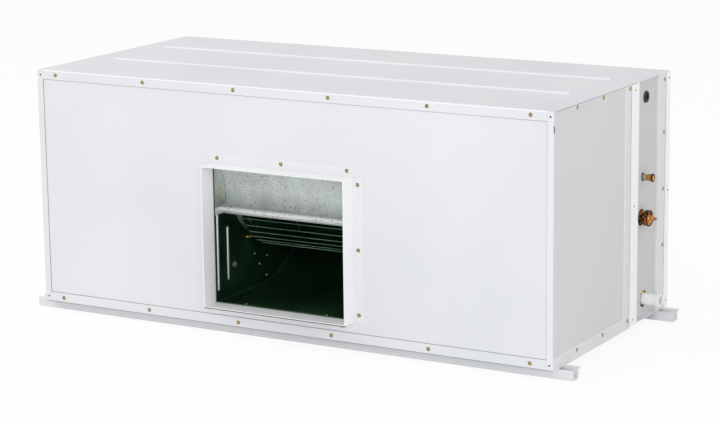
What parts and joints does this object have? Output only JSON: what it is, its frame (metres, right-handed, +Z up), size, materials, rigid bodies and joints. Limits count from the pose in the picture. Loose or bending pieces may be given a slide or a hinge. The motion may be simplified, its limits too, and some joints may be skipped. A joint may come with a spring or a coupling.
{
  "type": "ducted air conditioner indoor unit",
  "caption": "Low horizontal ducted air-conditioner casing on two mounting rails, with a framed blower outlet in front, a flanged return behind and pipe stubs at one end.",
  "frame": {"origin": "under the middle of the unit, on the underside of the mounting rails; the middle is halfway along the rails and halfway from the outlet collar's mouth to the return flange's mouth", "axes": "+X along the casing towards the pipe end, +Y from the air outlet to the return side, +Z up"},
  "size_m": [1.268, 0.625, 0.522],
  "materials": {
    "painted_steel": "white powder coat",
    "galvanised_steel": "galvanised sheet with a soft spangle",
    "scroll_enamel": "dark green-black enamel",
    "wheel_enamel": "dark green-black enamel",
    "shaft_steel": "ground steel",
    "motor_paint": "black paint",
    "aluminium_fins": "bare fin stock",
    "copper": "drawn copper tube",
    "brass": "turned brass",
    "white_plastic": "moulded plastic",
    "black_rubber": "moulded rubber",
    "capacitor_can": "drawn can",
    "pan_foam": "pale yellow closed-cell foam",
    "liner_foam": "dark closed-cell foam"
  },
  "bodies": {
    "casing": {"top_cover": "painted_steel", "base_pan": "painted_steel", "front_panel": "painted_steel", "right_side_panel": "painted_steel", "right_mid_post": "painted_steel", "pipe_panel": "painted_steel", "right_rear_post": "painted_steel", "left_rear_post": "painted_steel", "left_side_panel": "painted_steel", "rear_frame": "painted_steel", "front_mount_rail": "painted_steel", "rear_mount_rail": "painted_steel", "outlet_collar_top": "painted_steel", "outlet_collar_bottom": "painted_steel", "outlet_collar_left": "painted_steel", "outlet_collar_right": "painted_steel", "return_flange_top": "painted_steel", "return_flange_bottom": "painted_steel", "return_flange_left": "painted_steel", "return_flange_right": "painted_steel", "right_inner_post": "galvanised_steel", "left_inner_post": "galvanised_steel", "blower_cutoff": "galvanised_steel", "right_inlet_ring": "galvanised_steel", "left_inlet_ring": "galvanised_steel", "blower_right_foot": "galvanised_steel", "blower_left_foot": "galvanised_steel", "coil_right_plate": "galvanised_steel", "coil_left_plate": "galvanised_steel", "drain_pan": "galvanised_steel", "control_box": "galvanised_steel", "control_box_cover": "galvanised_steel", "motor_mount": "galvanised_steel", "blower_scroll": "scroll_enamel", "blower_right_plate": "scroll_enamel", "blower_left_plate": "scroll_enamel", "motor_bearings": "shaft_steel", "motor_body": "motor_paint", "coil_fins": "aluminium_fins", "coil_bends": "copper", "gas_header": "copper", "liquid_header": "copper", "gas_stub": "copper", "liquid_stub": "brass", "drain_stub": "white_plastic", "terminal_block": "white_plastic", "cable_grommet": "black_rubber", "motor_isolators": "black_rubber", "motor_capacitor": "capacitor_can", "pan_insulation": "pan_foam", "top_liner": "liner_foam", "base_liner": "liner_foam", "wall_liners": "liner_foam"},
    "rotor": {"wheel_right_blades": "wheel_enamel", "wheel_left_blades": "wheel_enamel", "wheel_right_rim": "wheel_enamel", "wheel_left_rim": "wheel_enamel", "wheel_disc": "wheel_enamel", "wheel_hub": "wheel_enamel", "motor_shaft": "shaft_steel"}
  },
  "joints": [
    {"name": "fan_spin", "type": "hinge", "parent": "casing", "child": "rotor", "pos_m": [0, -0.095, 0.2905], "axis": [1, 0, 0], "continuous": true}
  ]
}
